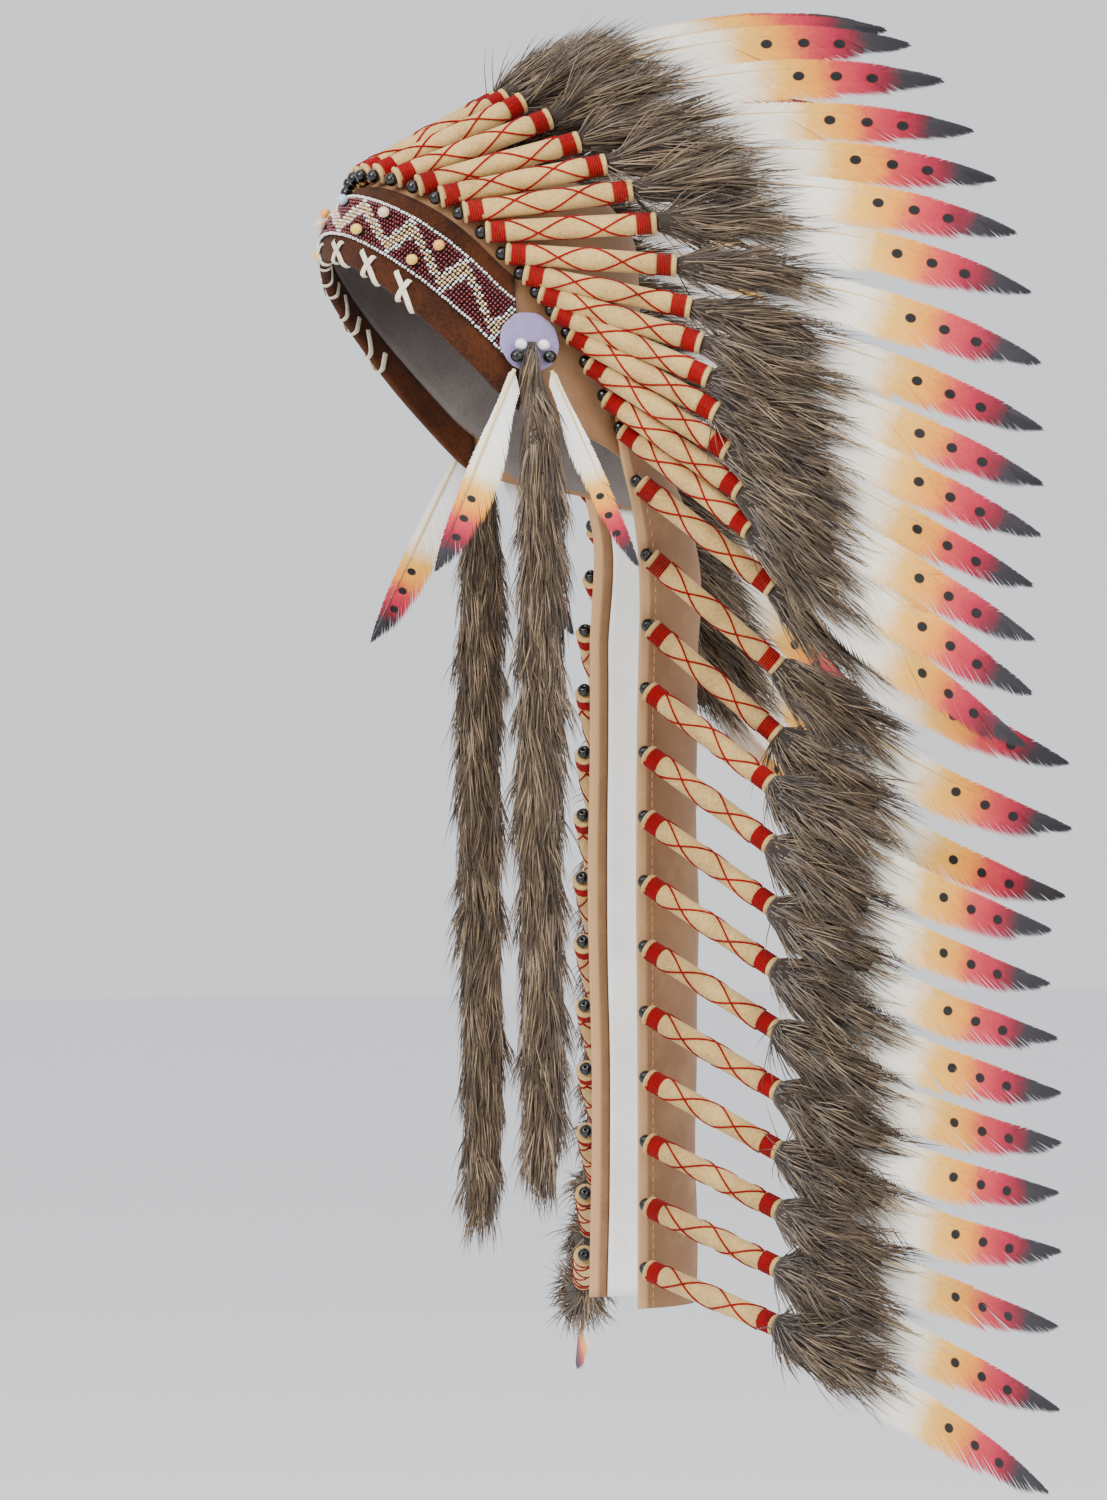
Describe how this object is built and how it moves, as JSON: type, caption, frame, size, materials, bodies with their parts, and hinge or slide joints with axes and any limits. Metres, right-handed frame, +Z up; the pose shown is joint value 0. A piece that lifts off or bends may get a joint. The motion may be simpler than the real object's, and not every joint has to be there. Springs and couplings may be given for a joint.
{
  "type": "feathered headdress",
  "caption": "Feathered headdress with a lined leather hood, beaded felt brow band, temple rosettes, fur drops and one row of wrapped feathers down both edges of a long trailer.",
  "frame": {"origin": "top of the hollow inside the hood's lining, where the crown of the wearer's head carries it", "axes": "+Z up as it is worn, -Y the way the wearer faces, +X towards the wearer's left"},
  "size_m": [0.6267, 0.442, 0.9071],
  "materials": {
    "tan_leather": "matte",
    "grey_lining": "matte",
    "brown_felt": "suede",
    "seed_beads": "gloss",
    "pearl_beige": "pearl",
    "pearl_blue": "pearl",
    "pearl_yellow": "pearl",
    "pearl_orange": "pearl",
    "ivory_thong": "matte",
    "white_lining": "matte",
    "beige_felt": "matte",
    "fur": "matte",
    "lavender_felt": "matte",
    "white_bead": "gloss",
    "black_bead": "gloss",
    "feather": "matte"
  },
  "bodies": {
    "root": {"cap_shell": "tan_leather", "cap_lining": "grey_lining", "brow_band": "brown_felt", "beaded_strip": "seed_beads", "pearl_1": "pearl_beige", "pearl_2": "pearl_blue", "pearl_3": "pearl_yellow", "pearl_4": "pearl_beige", "pearl_5": "pearl_yellow", "pearl_6": "pearl_orange", "pearl_7": "pearl_beige", "pearl_8": "pearl_blue", "pearl_9": "pearl_yellow", "pearl_10": "pearl_beige", "pearl_11": "pearl_yellow", "pearl_12": "pearl_orange", "edge_lacing": "ivory_thong", "trailer_panel": "tan_leather", "trailer_lining": "white_lining", "wrapped_quills_brow_centre": "beige_felt", "plumes_brow_centre": "fur", "rosette_left": "lavender_felt", "white_bead_front_left": "white_bead", "white_bead_back_left": "white_bead", "black_bead_front_left": "black_bead", "black_bead_back_left": "black_bead", "fur_drop_left": "fur", "side_feather_front_left": "feather", "side_feather_back_left": "feather", "wrapped_quills_crown_left": "beige_felt", "wrapped_quills_nape_left": "beige_felt", "wrapped_quills_trailer_upper_left": "beige_felt", "wrapped_quills_trailer_lower_left": "beige_felt", "plumes_crown_left": "fur", "plumes_temple_left": "fur", "plumes_nape_left": "fur", "plumes_trailer_upper_left": "fur", "plumes_trailer_lower_left": "fur", "rosette_right": "lavender_felt", "white_bead_front_right": "white_bead", "white_bead_back_right": "white_bead", "black_bead_front_right": "black_bead", "black_bead_back_right": "black_bead", "fur_drop_right": "fur", "side_feather_front_right": "feather", "side_feather_back_right": "feather", "wrapped_quills_crown_right": "beige_felt", "wrapped_quills_nape_right": "beige_felt", "wrapped_quills_trailer_upper_right": "beige_felt", "wrapped_quills_trailer_lower_right": "beige_felt", "plumes_crown_right": "fur", "plumes_temple_right": "fur", "plumes_nape_right": "fur", "plumes_trailer_upper_right": "fur", "plumes_trailer_lower_right": "fur"}
  },
  "joints": []
}
